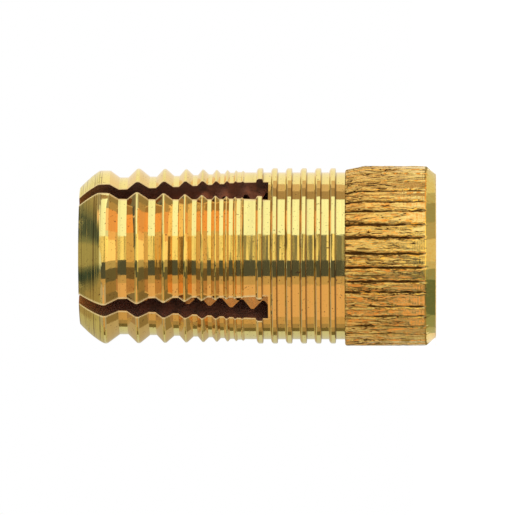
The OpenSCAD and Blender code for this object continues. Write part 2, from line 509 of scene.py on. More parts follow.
# grooves that get wider and narrower, with a lip of pushed-up metal on both sides
BREADTH_SWING, BOTTOM_SHARE = 0.6, 0.25
DEPTH_SWING, DEPTH_MEAN = 1.3, 0.8
LIP_MIDDLE, LIP_HALF_W = 1.35, 0.5
breadth = head_noise(per_mm=1.1, detail=2.0, seed_step=4.0, stretch=1.5)
half = do("*", inlet["Groove Half Width"], do("MULTIPLY_ADD", breadth, BREADTH_SWING, 1.0))
groove = ramp(tree, off, do("*", half, BOTTOM_SHARE), half, 1.0, 0.0)
uneven = head_noise(per_mm=1.3, detail=3.0, seed_step=2.0)
uneven = do("MINIMUM", do("MULTIPLY_ADD", uneven, DEPTH_SWING, DEPTH_MEAN), 1.0)
groove = do("MAXIMUM", do("*", groove, uneven), 0.0)
from_lip = do("ABSOLUTE", do("-", off, do("*", half, LIP_MIDDLE)))
lip = ramp(tree, from_lip, 0.0, do("*", half, LIP_HALF_W), 1.0, 0.0)

# %% The knurl's tree: torn ripples, and the end
# ripples are long along the axis and short across it
RIPPLE_TOP, RIPPLE_FROM, RIPPLE_FULL, RIPPLE_LEAST = 0.04, 1.4, 3.0, 0.2
torn = head_noise(per_mm=3.4, detail=4.0, seed_step=7.0, stretch=0.22)
torn_share = ramp(tree, height_mm, RIPPLE_FROM, RIPPLE_FULL, RIPPLE_LEAST)
ripple = do("*", do("MINIMUM", torn, RIPPLE_TOP), do("*", torn_share, inlet["Ripple"]))

# nothing on the chamfer, a quarter of it at the chamfer's edge, and all of it a little higher
CHAMFER_SAFE, EDGE_AT, EDGE_SHARE, FADE_LEN, SKIN_ABOVE = 0.97, 0.98, 0.25, 0.45, 0.1
on_land = ramp(tree, height_mm, CHAMFER_LEN * EDGE_AT, CHAMFER_LEN + FADE_LEN, EDGE_SHARE)
on_land = do("*", on_land, do("GREATER_THAN", height_mm, CHAMFER_LEN * CHAMFER_SAFE))
on_skin = do("GREATER_THAN", radius, (BARREL_R + SKIN_ABOVE) * MM)

# the knurl sags towards the shoulder on one side, where the wheel pressed hardest
sag = do("MAXIMUM", do("COSINE", do("-", angle, inlet["Sag Side"])), 0.0)
sag = do("*", sag, ramp(tree, height_mm, SAG_FROM, HEAD_LEN))
change = do("-", do("+", ripple, do("*", lip, inlet["Lip"])),
            do("*", groove, inlet["Groove Depth"]))
change = do("-", change, do("*", sag, inlet["Sag"]))
change = do("*", change, do("*", on_land, on_skin))
wide = do("MINIMUM", do("+", radius, change), HEAD_R * MM)
lathe_end(tree, grid, wide, angle, height, inlet["Finish"], outlet)
knurl_tree = tree

# %% Roll the knurl
head = grow(line_object("head_blank", head_line), knurl_tree, {"Finish": knurled})

# %% [markdown]
# ## The hole and its thread
# The thread is a V that winds round the hole at a pitch of 1.5 mm. In nodes that is a spiral curve with a
# small profile swept along it, closed at both ends. The hole itself is a plain turned shape. Between the
# legs both taper, because the legs have been pressed together.

# %% The tree of the thread
PITCH, THREAD_DEPTH, THREAD_ROOT_W = 1.5, 0.72, 0.19
THREAD_BASE, TURN_STEPS, FLANK_ANGLE = 0.3, 56, math.radians(30)
THREAD = {
    "Mesh": ("Geometry", None),
    "Pitch": PITCH * MM,
    "Turns": 18.0,
    "Start Turn": 0.0,
    "Hole Radius": HOLE_R * MM,
    "Depth": THREAD_DEPTH * MM,
    "Root Width": THREAD_ROOT_W * MM,
    "Taper From": SLOT_ROOT_Z * MM,
    "Taper To": LENGTH * MM,
    "Tip Share": HOLE_TIP_R / HOLE_R,
    "Finish": ("Material", None),
}
tree, inlet, outlet = new_tree("thread", "GeometryNodeTree", THREAD, {"Mesh": ("Geometry", None)})
do = maths(tree)
rise = do("*", inlet["Pitch"], inlet["Turns"])
deep = do("+", inlet["Depth"], THREAD_BASE * MM)
middle = do("-", do("+", inlet["Hole Radius"], inlet["Depth"]), do("/", deep, 2.0))
spiral = add(tree, "GeometryNodeCurveSpiral", TURN_STEPS, inlet["Turns"], middle, middle, rise, True)
start = vector(tree, 0.0, 0.0, do("*", inlet["Pitch"], -1.0))
start_turn = vector(tree, 0.0, 0.0, do("*", inlet["Start Turn"], 2 * math.pi))
started = add(tree, "GeometryNodeTransform", spiral, start, start_turn)
upright = add(tree, "GeometryNodeSetCurveNormal", started, True, mode="Z_UP")
base_w = do("MULTIPLY_ADD", deep, 2 * math.tan(FLANK_ANGLE), inlet["Root Width"])
vee = add(tree, "GeometryNodeCurvePrimitiveQuadrilateral", mode="TRAPEZOID")
for label, value in (("Height", deep), ("Bottom Width", base_w), ("Top Width", inlet["Root Width"])):
    tree.links.new(value, vee.node.inputs[label])
vee.node.inputs["Offset"].default_value = 0
outwards = add(tree, "GeometryNodeTransform", vee, None, (0, 0, -math.pi / 2))
swept = add(tree, "GeometryNodeCurveToMesh", upright, outwards, None, True)

# between the legs the thread narrows with the hole
x, y, z = xyz(tree, add(tree, "GeometryNodeInputPosition"))
pressed = ramp(tree, z, inlet["Taper From"], inlet["Taper To"], 1.0, inlet["Tip Share"])
tapered = vector(tree, do("*", x, pressed), do("*", y, pressed), z)
moved = add(tree, "GeometryNodeSetPosition", swept, True, tapered)
end_tree(tree, moved, inlet["Finish"], outlet)
thread_tree = tree

# %% The tree of a plain turned cutter
PLAIN = {"Profile": ("Geometry", None), "Columns": ("Int", 112), "Finish": ("Material", None)}
tree, inlet, outlet = new_tree("plain_lathe", "GeometryNodeTree", PLAIN, {"Mesh": ("Geometry", None)})
do = maths(tree)
grid, radius, height, column = lathe_grid(tree, inlet["Profile"], inlet["Columns"])
angle = do("*", do("/", column, inlet["Columns"]), 2 * math.pi)
lathe_end(tree, grid, radius, angle, height, inlet["Finish"], outlet)
plain_tree = tree

# %% Make the drill and the tap
THREAD_TURN = 0.15
hole_line = [(0, -PAST), (MOUTH_R, -PAST), (MOUTH_R, 0), (HOLE_R, MOUTH_LEN), (HOLE_R, SLOT_ROOT_Z),
             (HOLE_LEG_R, SLOT_ROOT_Z + HOLE_STEP), (HOLE_TIP_R, LENGTH),
             (HOLE_TIP_R, LENGTH + PAST), (0, LENGTH + PAST)]
drill = grow(line_object("drill", hole_line), plain_tree, {"Finish": tapped})
tap = grow(plain_object("tap", []), thread_tree, {"Finish": tapped, "Start Turn": THREAD_TURN})

# %% [markdown]
# ## The saw cuts
# One pass of the saw goes right across and makes two slots. When the legs are pressed together each slot
# becomes a wedge, wide at its closed end. A saw never leaves a perfect plane, so the blade is a block of
# fine squares whose sides are roughened a little.

# %% The tree of a saw cut
SAW_STEPS, SAW_SEED = (72, 2, 60), 21.0
SIDES_APART, AT_ROOT = 20.0, 0.001
SAW = {
    "Mesh": ("Geometry", None),
    "Turn": 0.0,
    "Root Width": SLOT_ROOT_W * MM,
    "Tip Width": SLOT_TIP_W * MM,
    "Root Height": SLOT_ROOT_Z * MM,
    "Length": LENGTH * MM,
    "Reach": (HEAD_R + PAST) * MM,
    "Roughness": 0.02 * MM,
    "Seed": SAW_SEED,
    "Finish": ("Material", None),
}
tree, inlet, outlet = new_tree("saw_cut", "GeometryNodeTree", SAW, {"Mesh": ("Geometry", None)})
do = maths(tree)
block = add(tree, "GeometryNodeMeshCube", (1, 1, 1), *SAW_STEPS)
x, y, z = xyz(tree, add(tree, "GeometryNodeInputPosition"))
rise = do("+", z, 0.5)
reach = do("+", do("-", inlet["Length"], inlet["Root Height"]), PAST * MM)
height = do("+", inlet["Root Height"], do("*", rise, reach))
width = ramp(tree, height, inlet["Root Height"], inlet["Length"], inlet["Root Width"], inlet["Tip Width"])
along = do("*", x, do("*", inlet["Reach"], 2.0))
where = vector(tree, do("/", along, MM), do("*", y, SIDES_APART), do("/", height, MM))
rough = noise_at(tree, where, per_mm=1.7, detail=3.0, seed=inlet["Seed"])
rough = do("*", rough, inlet["Roughness"])
across = do("+", do("*", y, width), rough)
height = do("+", height, do("*", do("LESS_THAN", rise, AT_ROOT), rough))
moved = add(tree, "GeometryNodeSetPosition", block, True, vector(tree, along, across, height))
spin = vector(tree, 0.0, 0.0, inlet["Turn"])
end_tree(tree, add(tree, "GeometryNodeTransform", moved, None, spin), inlet["Finish"], outlet)
saw_tree = tree

# %% Make both saw cuts
saws = []
for k in range(2):
    settings = {"Turn": k * math.pi / 2, "Seed": SAW_SEED + k, "Finish": sawn}
    saws.append(grow(plain_object(f"saw_{k}", []), saw_tree, settings))

# %% [markdown]
# ## Joining and cutting
# The head is joined to the sleeve, then the drill, the tap and the saws take their metal away. Each new
# face takes its finish from the tool that cut it.

# %% Join and cut
def work(body, tool, operation):
    """Joins a tool's shape to the body or takes it away, with the tool's finish on the new faces."""
    modifier = body.modifiers.new(tool.name, "BOOLEAN")
    modifier.object, modifier.operation = tool, operation
    modifier.solver, modifier.material_mode = "MANIFOLD", "TRANSFER"


work(sleeve, head, "UNION")
for tool in (drill, tap, *saws):
    work(sleeve, tool, "DIFFERENCE")
settle(sleeve)
for tool in (head, drill, tap, *saws):
    bpy.data.objects.remove(tool)
print("finishes on the sleeve:", [m.name if m else None for m in sleeve.data.materials])

# %% [markdown]
# ## Shading, and a tag for the flanks
# Smooth shading makes the facets look round, but an edge where two tools met has to stay crisp, so the
# angle between two faces decides. The slanted sides of the grooves get a tag that their finish reads, to
# paint them a redder brass as a painted reflection.

# %% Soft where the lathe was, sharp where two surfaces meet
SHARP, SHARP_KNURL = math.radians(12), math.radians(70)


def read(items, name, width=1, kind=np.float32):
    """One property of all vertices, edges or faces, as an array."""
    values = np.empty(len(items) * width, kind)
    items.foreach_get(name, values)
    return values.reshape(-1, width) if width > 1 else values


def mark_sharp(mesh, knurl_slot):
    """Marks an edge as sharp by the angle between its two faces. The torn knurl may bend further."""
    normals = read(mesh.polygons, "normal", 3)
    finish = read(mesh.polygons, "material_index", kind=np.int32)
    owner = np.repeat(np.arange(len(mesh.polygons)), read(mesh.polygons, "loop_total", kind=np.int32))
    order = np.argsort(read(mesh.loops, "edge_index", kind=np.int32), kind="stable")
    pair = owner[order].reshape(-1, 2)
    bend = np.arccos(np.clip((normals[pair[:, 0]] * normals[pair[:, 1]]).sum(1), -1, 1))
    both_knurled = (finish[pair] == knurl_slot).all(1)
    limit = np.where(both_knurled, SHARP_KNURL, SHARP)
    edges = mesh.attributes.get("sharp_edge") or mesh.attributes.new("sharp_edge", "BOOLEAN", "EDGE")
    edges.data.foreach_set("value", (bend > limit) | (finish[pair[:, 0]] != finish[pair[:, 1]]))


mesh = sleeve.data
mesh.materials.pop(index=0)
mesh.polygons.foreach_set("use_smooth", [True] * len(mesh.polygons))
mark_sharp(mesh, [m.name for m in mesh.materials].index("brass_knurled"))

# %% Which faces are flanks of the grooves
FLANK_FROM, FLANK_FULL, ABOVE_HEAD = 0.35, 0.5, 0.05
NOSE_Z = LENGTH - FIRST_RIDGE
tilt = np.abs(read(mesh.polygons, "normal", 3)[:, 2])
height = read(mesh.polygons, "center", 3)[:, 2] / MM
flank = np.clip((tilt - FLANK_FROM) / (FLANK_FULL - FLANK_FROM), 0, 1)
flank = flank * (height < NOSE_Z) * (height > HEAD_LEN + ABOVE_HEAD)
mesh.attributes.new("flank", "FLOAT", "FACE").data.foreach_set("value", flank.astype(np.float32))
print("faces on flanks:", int((flank > 0.5).sum()))

# %% [markdown]
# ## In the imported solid's place
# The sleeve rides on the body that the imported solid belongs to, and stands in for that solid.

# %% Ride and replace
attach(sleeve, "root")
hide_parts("anchor_sleeve")

# %% [markdown]
# ## Brass, four times
# All four finishes are the same bare brass: metallic, warm yellow, and only as clean as its tool left it.
# Lathe marks run round the part in fine lines, so they are noise that changes fast along the axis and
# slowly round it. They are a node group, because all four finishes use them. So are the specks of film.

# %% Group: fine lines left by a tool
MARKS = {"Place": ("Vector", None), "Round": 0.15, "Along": 9.0, "Detail": 4.0, "Warp": 0.0, "Seed": 0.0}
HEIGHTS = {"Height": None, "Streak": None}
LINE_ROUGH, STREAK_SCALE, STREAK_ROUGH, STREAK_STEP = 0.6, 0.3, 0.5, 5.0
STREAK_FROM, STREAK_FULL = 0.45, 0.7
tree, inlet, outlet = new_tree("tool_marks", "ShaderNodeTree", MARKS, HEIGHTS)
do = maths(tree)
x, y, z = xyz(tree, inlet["Place"])
around = do("/", inlet["Round"], MM)
along = do("/", inlet["Along"], MM)
drawn = vector(tree, do("*", x, around), do("*", y, around), do("*", z, along))
fine = add(tree, "ShaderNodeTexNoise", drawn, inlet["Seed"], 1.0, inlet["Detail"], LINE_ROUGH,
           noise_dimensions="4D")
tree.links.new(inlet["Warp"], fine.node.inputs["Distortion"])
tree.links.new(fine, outlet["Height"])
wide = add(tree, "ShaderNodeTexNoise", drawn, do("+", inlet["Seed"], STREAK_STEP), STREAK_SCALE, 2.0,
           STREAK_ROUGH, noise_dimensions="4D")
tree.links.new(ramp(tree, wide, STREAK_FROM, STREAK_FULL), outlet["Streak"])
marks_group = tree

# %% Group: small pits and specks of film
SPECK_TOP, SPECK_EDGE = 0.85, 0.06
SPECKS = {"Place": ("Vector", None), "Per mm": 3.0, "Share": 0.3}
tree, inlet, outlet = new_tree("specks", "ShaderNodeTree", SPECKS, {"Speck": None})
do = maths(tree)
dots = add(tree, "ShaderNodeTexNoise", inlet["Place"], do("/", inlet["Per mm"], MM), 2.0, 0.5)
edge = do("-", SPECK_TOP, do("*", inlet["Share"], 0.5))
tree.links.new(ramp(tree, dots, edge, do("+", edge, SPECK_EDGE)), outlet["Speck"])
specks_group = tree

# %% Helpers for the materials
def group(tree, inner, **values):
    """Places a node group. A keyword is an input socket's name, with _ for a space."""
    made = tree.nodes.new("ShaderNodeGroup")
    made.node_tree = inner
    for key, value in values.items():
        socket = made.inputs[key.replace("_", " ")]
        if isinstance(value, bpy.types.NodeSocket):
            tree.links.new(value, socket)
        else:
            socket.default_value = value
    return made.outputs


def blend(tree, share, one, two):
    """Mixes two colours."""
    made = tree.nodes.new("ShaderNodeMix")
    made.data_type = "RGBA"
    for identifier, value in (("Factor_Float", share), ("A_Color", one), ("B_Color", two)):
        socket = next(i for i in made.inputs if i.identifier == identifier)
        if isinstance(value, bpy.types.NodeSocket):
            tree.links.new(value, socket)
        else:
            socket.default_value = (*value, 1) if hasattr(value, "__len__") else value
    return next(o for o in made.outputs if o.identifier == "Result_Color")


def bump(tree, height, depth_mm, below=None):
    """A bump of that depth in millimetres, laid over another bump where there is one."""
    made = tree.nodes.new("ShaderNodeBump")
    made.inputs["Distance"].default_value = depth_mm * MM
    made.inputs["Strength"].default_value = 1.0
    tree.links.new(height, made.inputs["Height"])
    if below is not None:
        tree.links.new(below, made.inputs["Normal"])
    return made.outputs[0]


def start_metal(material):
    """The nodes of a material, its metal shader and the place on the object."""
    print("finish", material.name)
    tree = material.node_tree
    shader = tree.nodes["Principled BSDF"]
    shader.inputs["Metallic"].default_value = 1.0
    shader.inputs["Specular IOR Level"].default_value = 0.0
    return tree, shader, tree.nodes.new("ShaderNodeTexCoord").outputs["Object"]


def finish_metal(tree, shader, colour, roughness, normal):
    for value, label in ((colour, "Base Color"), (roughness, "Roughness"), (normal, "Normal")):
        tree.links.new(value, shader.inputs[label])

# %% [markdown]
# ### Turned brass
# The barrel mirrors its surroundings almost like polished metal. Each rib tilts that mirror image on two
# slopes which are too shallow to model, and painted shade runs along the foot of its steep side. The
# flanks, the burr and the nose differ, and are found by an attribute or by the height along the axis: the
# flanks get a redder brass as a painted reflection, and the burr, a real raised edge, a painted highlight.

# %% Turned brass: where things are
BRASS, FLANK_REFLECTION_TINT, FILM_AND_SHADE = (0.99, 0.87, 0.31), (0.96, 0.7, 0.29), (0.2, 0.09, 0.04)
BURR_HIGHLIGHT_TONE = (1.0, 0.77, 0.42)
NOSE_FADE, RIBS_START = 0.3, 0.3
tree, shader, place = start_metal(turned)
do = maths(tree)
marks = group(tree, marks_group, Place=place, Round=0.12, Along=11.0)
broad = group(tree, marks_group, Place=place, Round=0.25, Along=2.6, Detail=0.6, Seed=12.0)
specks = group(tree, specks_group, Place=place, Per_mm=7.0, Share=0.38)["Speck"]
flank = add(tree, "ShaderNodeAttribute", attribute_name="flank", out=2)
burr = add(tree, "ShaderNodeAttribute", attribute_name="burr", out=2)
z = xyz(tree, place)[2]
nose = ramp(tree, z, NOSE_Z * MM, (NOSE_Z + NOSE_FADE) * MM)
# the tops and the bottoms of the fine lines, by levels of a noise that lies round 0.5
bright_line = ramp(tree, marks["Height"], 0.54, 0.62)
dark_line = ramp(tree, marks["Height"], 0.4, 0.47, 1.0, 0.0)

# distance along the axis from the middle of the nearest rib, in millimetres
from_rib = do("-", do("/", z, MM), HEAD_LEN + FIRST_RIB - RIB_PITCH / 2)
from_rib = do("*", do("FRACT", do("/", from_rib, RIB_PITCH)), RIB_PITCH)
from_rib = do("-", from_rib, RIB_PITCH / 2)
on_ribs = do("*", do("GREATER_THAN", z, (HEAD_LEN + RIBS_START) * MM),
             do("LESS_THAN", z, (HEAD_LEN + FIRST_RIB + (RIBS - 0.5) * RIB_PITCH) * MM))

# %% Turned brass: colour
STREAK_FILM, NOSE_FILM, FOOT_SHADE, SPECK_FILM, BURR_HIGHLIGHT_SHARE = 0.1, 0.7, 0.523, 0.9, 0.9
FOOT_SHADE_AT, FOOT_SHADE_HALF_W, FOOT_SHADE_EDGE = -0.2, 0.03, 0.08
# the flanks' redder brass is a painted reflection of the light bounced between two flanks
tone = blend(tree, flank, BRASS, FLANK_REFLECTION_TINT)
tone = blend(tree, do("*", marks["Streak"], STREAK_FILM), tone, FILM_AND_SHADE)
tone = blend(tree, do("*", dark_line, do("*", nose, NOSE_FILM)), tone, FILM_AND_SHADE)
# painted shade: a dark line along the foot of each rib's steep side, where the rib meets the barrel
seam = do("ABSOLUTE", do("-", from_rib, FOOT_SHADE_AT))
seam = ramp(tree, seam, FOOT_SHADE_HALF_W, FOOT_SHADE_EDGE, 1.0, 0.0)
seam = do("*", seam, do("*", on_ribs, FOOT_SHADE))
tone = blend(tree, do("MAXIMUM", seam, do("*", specks, SPECK_FILM)), tone, FILM_AND_SHADE)
# the burr is a real raised edge, and its paler tone, scattered evenly, is a painted highlight
tone = blend(tree, do("*", burr, BURR_HIGHLIGHT_SHARE), tone, BURR_HIGHLIGHT_TONE)

# %% Turned brass: how rough and how metallic
SMOOTH, STREAK_DULL, SPECK_DULL, BURR_DULL, NOSE_DULL = 0.05, 0.06, 0.2, 0.35, 0.3
BURR_SCATTER = 0.75
rough = do("MULTIPLY_ADD", marks["Streak"], STREAK_DULL, SMOOTH)
rough = do("+", rough, do("*", specks, SPECK_DULL))
rough = do("MAXIMUM", rough, do("*", burr, BURR_DULL))
on_lines = do("*", bright_line, do("MULTIPLY_ADD", nose, NOSE_DULL, STREAK_DULL))
rough = do("MAXIMUM", rough, on_lines)
# a lower metallic keeps the burr's painted highlight equally bright from every side
tree.links.new(do("-", 1.0, do("*", burr, BURR_SCATTER)), shader.inputs["Metallic"])

# %% Turned brass: relief
# where a slope's rise starts and ends and its fall starts and ends, from the rib's middle
RIB_SLOPES = ((-0.2, -0.15, -0.13, 0.12), (0.13, 0.19, 0.2, 0.42))
SLOPE_H, BROAD_H, FINE_H, FINE_ON_NOSE, FINE_ELSEWHERE = 0.0048, 0.009, 0.006, 0.9, 0.1
slopes = []
for rise_from, rise_to, fall_from, fall_to in RIB_SLOPES:
    rise = ramp(tree, from_rib, rise_from, rise_to)
    slopes.append(do("*", rise, ramp(tree, from_rib, fall_from, fall_to, 1.0, 0.0)))
under = bump(tree, do("*", do("+", *slopes), on_ribs), SLOPE_H)
under = bump(tree, broad["Height"], BROAD_H, under)
fine_marks = do("*", marks["Height"], do("MULTIPLY_ADD", nose, FINE_ON_NOSE, FINE_ELSEWHERE))
finish_metal(tree, shader, tone, rough, bump(tree, fine_marks, FINE_H, under))

# %% [markdown]
# ### Knurled brass
# The wheel tore the metal into scales. A crack is drawn where a noise passes one level, which gives long
# thin lines instead of blobs, and another level of the same noise gives a painted highlight at the edge of a
# scale. Places that lie below the lands get painted shade.

# %% Knurled brass: where things are
KNURLED, TORN, PAINTED_GLINT_TONE = (1.0, 0.78, 0.26), (1.0, 0.64, 0.16), (1.0, 0.68, 0.18)
# one dark tone for the cracks and for painted shade in the grooves
DARK_CRACK_AND_SHADE = (0.06, 0.016, 0.002)
tree, shader, place = start_metal(knurled)
do = maths(tree)
marks = group(tree, marks_group, Place=place, Round=0.2, Along=8.0, Seed=3.0)
coarse = group(tree, marks_group, Place=place, Round=2.2, Along=0.4, Detail=3.0, Warp=0.5, Seed=8.0)
hair = group(tree, marks_group, Place=place, Round=6.0, Along=0.6, Detail=2.0, Warp=0.2, Seed=15.0)
fine = group(tree, marks_group, Place=place, Round=3.4, Along=0.42, Detail=3.0, Warp=0.3, Seed=4.0)
coarse, hair, fine = (noise["Height"] for noise in (coarse, hair, fine))
x, y, z = xyz(tree, place)
chamfer = do("LESS_THAN", z, CHAMFER_LEN * MM)

# a place is deep if it lies below the lands, not counting the sag
DEEP_BELOW, SHALLOW_BELOW = 0.15, 0.08
radius = do("SQRT", do("+", do("*", x, x), do("*", y, y)))
to_side = do("+", do("*", x, math.cos(SAG_SIDE)), do("*", y, math.sin(SAG_SIDE)))
sag = ramp(tree, z, SAG_FROM * MM, HEAD_LEN * MM, 0.0, SAG * MM)
sag = do("*", do("MAXIMUM", do("/", to_side, radius), 0.0), sag)
radius = do("+", radius, sag)
deep = ramp(tree, radius, (HEAD_R - DEEP_BELOW) * MM, (HEAD_R - SHALLOW_BELOW) * MM, 1.0, 0.0)
deep = do("*", deep, do("GREATER_THAN", z, CHAMFER_LEN * MM))

# the metal is calm beside the chamfer and torn near the shoulder
TORN_FROM, TORN_FULL, TORN_LEAST, CALM = 1.2, 4.0, 0.12, 0.06
torn_here = ramp(tree, z, TORN_FROM * MM, TORN_FULL * MM, TORN_LEAST)
calm = do("MULTIPLY_ADD", torn_here, -CALM, CALM)

# %% Knurled brass: cracks, glints and ledges, by levels of a noise that lies round 0.5
def line_at(height, level, inner, outer):
    """A thin line where the noise passes a level, as at the edge of a scale."""
    away = do("ABSOLUTE", do("-", height, level))
    return ramp(tree, away, inner, outer, 1.0, 0.0)


broken = ramp(tree, do("-", coarse, calm), 0.45, 0.49)
cracks = do("*", line_at(fine, level=0.5, inner=0.013, outer=0.026), broken)
pits = ramp(tree, do("-", fine, calm), 0.63, 0.66)
hairline = ramp(tree, do("-", hair, calm), 0.6, 0.62)
glint = line_at(fine, level=0.56, inner=0.015, outer=0.03)
# painted highlights: glints at one level of the noise and spots where the hair noise is low
painted_glints = do("MAXIMUM", glint, ramp(tree, hair, 0.38, 0.42, 1.0, 0.0))
shelf = ramp(tree, coarse, 0.42, 0.58)
ledge = ramp(tree, fine, 0.46, 0.54)

# %% Knurled brass: colour, roughness and relief
HAIR_FILM, DEEP_SHADE, CRACK_AND_SHADE_SCATTER, GLINT_SCATTER = 0.85, 0.95, 0.9, 0.6
KNURL_SMOOTH, TORN_DULL, CHAMFER_DULL = 0.06, 0.06, 0.1
KNURL_FINE_H, SHELF_H, LEDGE_H = 0.006, 0.03, 0.009
cracks_and_shade = do("MAXIMUM", do("*", hairline, HAIR_FILM), do("MAXIMUM", cracks, pits))
cracks_and_shade = do("*", cracks_and_shade, do("-", 1.0, chamfer))
# painted shade: places below the lands, in the grooves and the tears, are darkened by depth
cracks_and_shade = do("MAXIMUM", cracks_and_shade, do("*", deep, DEEP_SHADE))
tone = blend(tree, torn_here, KNURLED, TORN)
tone = blend(tree, painted_glints, tone, PAINTED_GLINT_TONE)
tone = blend(tree, cracks_and_shade, tone, DARK_CRACK_AND_SHADE)
scatter = do("*", do("*", painted_glints, torn_here), GLINT_SCATTER)
scatter = do("MAXIMUM", do("*", cracks_and_shade, CRACK_AND_SHADE_SCATTER), scatter)
tree.links.new(do("-", 1.0, scatter), shader.inputs["Metallic"])
rough = do("MULTIPLY_ADD", torn_here, TORN_DULL, KNURL_SMOOTH)
rough = do("MULTIPLY_ADD", chamfer, CHAMFER_DULL, rough)
under = bump(tree, marks["Height"], KNURL_FINE_H)
under = bump(tree, do("*", shelf, torn_here), SHELF_H, under)
under = bump(tree, do("*", ledge, torn_here), LEDGE_H, under)
finish_metal(tree, shader, tone, rough, under)

# %% [markdown]
# ### Sawn and tapped brass
# In the cuts the metal is dull, and its dark reddish tone is painted shade for the inside of the hole and
# the slots. A lighter tone there is painted light: it grows towards the tips, where light comes in at the
# slots' open ends, and covers the cut faces of one quarter, as if lit through the slot.

# %% Sawn and tapped brass
# the lighter tone stands for painted light
LIT_CUT_TONE, CUT_METALLIC = (0.88, 0.54, 0.16), 0.84
LIT_WALL_PAST, MOUTH_LIGHT_LEN, MOUTH_LIGHT_SHARE = -3, 2.5, 0.8
CUT_FILM, CUT_DULL, CUT_SMOOTH, CUT_FINE_H = 0.4, 0.1, 0.14, 0.01
# the colours here are darkened as painted shade of the inside of the hole and the slots
CUTS = ((sawn, (0.45, 0.25, 0.17), 2.2, 2.2, 5.0), (tapped, (0.36, 0.19, 0.15), 0.4, 6.0, 6.0))
for material, colour, round_scale, along_scale, seed in CUTS:
    tree, shader, place = start_metal(material)
    shader.inputs["Metallic"].default_value = CUT_METALLIC
    do = maths(tree)
    marks = group(tree, marks_group, Place=place, Round=round_scale, Along=along_scale, Seed=seed)
    x, y, z = xyz(tree, place)
    # painted light: the cut faces of one quarter take the lighter tone, as if lit through the slot
    lit_wall = do("*", do("LESS_THAN", x, LIT_WALL_PAST * MM), do("GREATER_THAN", y, 0.0))
    # painted light, growing towards the tips, where light comes in at the slots' open ends
    mouth_light = ramp(tree, z, (LENGTH - MOUTH_LIGHT_LEN) * MM, LENGTH * MM, 0.0, MOUTH_LIGHT_SHARE)
    tone = blend(tree, do("MAXIMUM", lit_wall, mouth_light), colour, LIT_CUT_TONE)
    tone = blend(tree, do("*", marks["Streak"], CUT_FILM), tone, FILM_AND_SHADE)
    rough = do("MULTIPLY_ADD", marks["Streak"], CUT_DULL, CUT_SMOOTH)
    finish_metal(tree, shader, tone, rough, bump(tree, marks["Height"], CUT_FINE_H))

# %% [markdown]
# ## White all round, and plain light
# The background is white for the camera, for reflections and through glass. Light Path tells those rays
# from the rays that carry light, so the world still lights the anchor at a plain level.

# %% The world
DAYLIGHT = 0.85


def rays_that_see(tree):
    """1 for rays of the camera, of reflections and through glass, and 0 for the rest."""
    path = tree.nodes.new("ShaderNodeLightPath").outputs
    do = maths(tree)
    seen = do("MAXIMUM", path["Is Camera Ray"], path["Is Glossy Ray"])
    return do("MAXIMUM", seen, path["Is Transmission Ray"])


world = bpy.data.worlds.new("studio")
bpy.context.scene.world = world
world.use_nodes = True
tree = world.node_tree
background = tree.nodes["Background"]
background.inputs["Color"].default_value = (1, 1, 1, 1)
strength = maths(tree)("MULTIPLY_ADD", rays_that_see(tree), 1.0 - DAYLIGHT, DAYLIGHT)
tree.links.new(strength, background.inputs["Strength"])
print("daylight", DAYLIGHT)

# %% [markdown]
# ## Cards
# Bright metal looks like what stands round it, so glowing cards stand there, seen only in reflections.
# Plain cylinders mirror the cards level with the part. The slanted sides of the grooves mirror each other
# first, and then what stands higher or lies on the table further out. The ring on the table close by is
# for the sides that face down, and the ribbon next to the part is for the chamfer.

# %% Helpers for cards
CARD_FAR, CARD_LIFT, CARD_STEP = 300.0, 0.05, 3


def card_object(name, corners, faces, tone):
    """A glowing sheet that only reflections see."""
    made = plain_object(name, corners, faces=faces)
    material = finish_named(name)
    tree = material.node_tree
    tree.nodes.remove(tree.nodes["Principled BSDF"])
    glow = add(tree, "ShaderNodeEmission", (*tone, 1), 1.0)
    tree.links.new(glow, tree.nodes["Material Output"].inputs["Surface"])
    made.data.materials.append(material)
    made.visible_camera = made.visible_diffuse = made.visible_shadow = False
    made.visible_transmission = made.visible_volume_scatter = False


def card(name, turn_from, turn_to, rungs, tone):
    """A card bent round the anchor. Turns are in degrees from the camera, upwards in the picture, and
    rungs are the radius and height of its edges."""
    steps = max(2, int(abs(turn_to - turn_from) / CARD_STEP))
    corners, faces, n = [], [], len(rungs)
    for k in range(steps + 1):
        a = CAMERA_TURN + math.radians(turn_from + (turn_to - turn_from) * k / steps)
        corners += [(radius * math.cos(a), radius * math.sin(a), z) for radius, z in rungs]
        if k:
            faces += [((k - 1) * n + j, k * n + j, k * n + j + 1, (k - 1) * n + j + 1) for j in range(n - 1)]
    card_object(name, corners, faces, tone)


def wall(low, top):
    return [(CARD_FAR, low), (CARD_FAR, top)]


def ground(near, far):
    return [(near, CARD_LIFT), (far, CARD_LIFT)]

# %% The cards, by the sector that they fill
# each has the turns where it starts and ends, and its colour
SPLIT, RAISED_TO = 48, 245
LEVEL = [(116, 180, (0.95, 0.86, 0.8)), (100, 116, (0.68, 0.45, 0.33)), (84, 100, (0.4, 0.25, 0.17)),
         (-28, -6, (0.083, 0.078, 0.08)), (-40, -28, (0.55, 0.33, 0.19)), (-92, -40, (0.76, 0.41, 0.25)),
         (-108, -92, (0.58, 0.33, 0.18)), (-118, -108, (0.38, 0.24, 0.14)), (-128, -118, (0.17, 0.12, 0.06)),
         (-180, -128, (0.6, 0.57, 0.5))]
RAISED = [(115, 180, (0.9, 0.84, 0.7)), (68, 115, (0.4, 0.33, 0.3)), (36, 68, (1.0, 0.63, 0.46)),
          (-10, 36, (0.75, 0.7, 0.66)), (-18, -10, (0.45, 0.45, 0.45)), (-36, -18, (0.17, 0.17, 0.2)),
          (-66, -36, (0.5, 0.38, 0.38)), (-115, -66, (0.42, 0.36, 0.36)), (-180, -115, (0.5, 0.44, 0.3))]
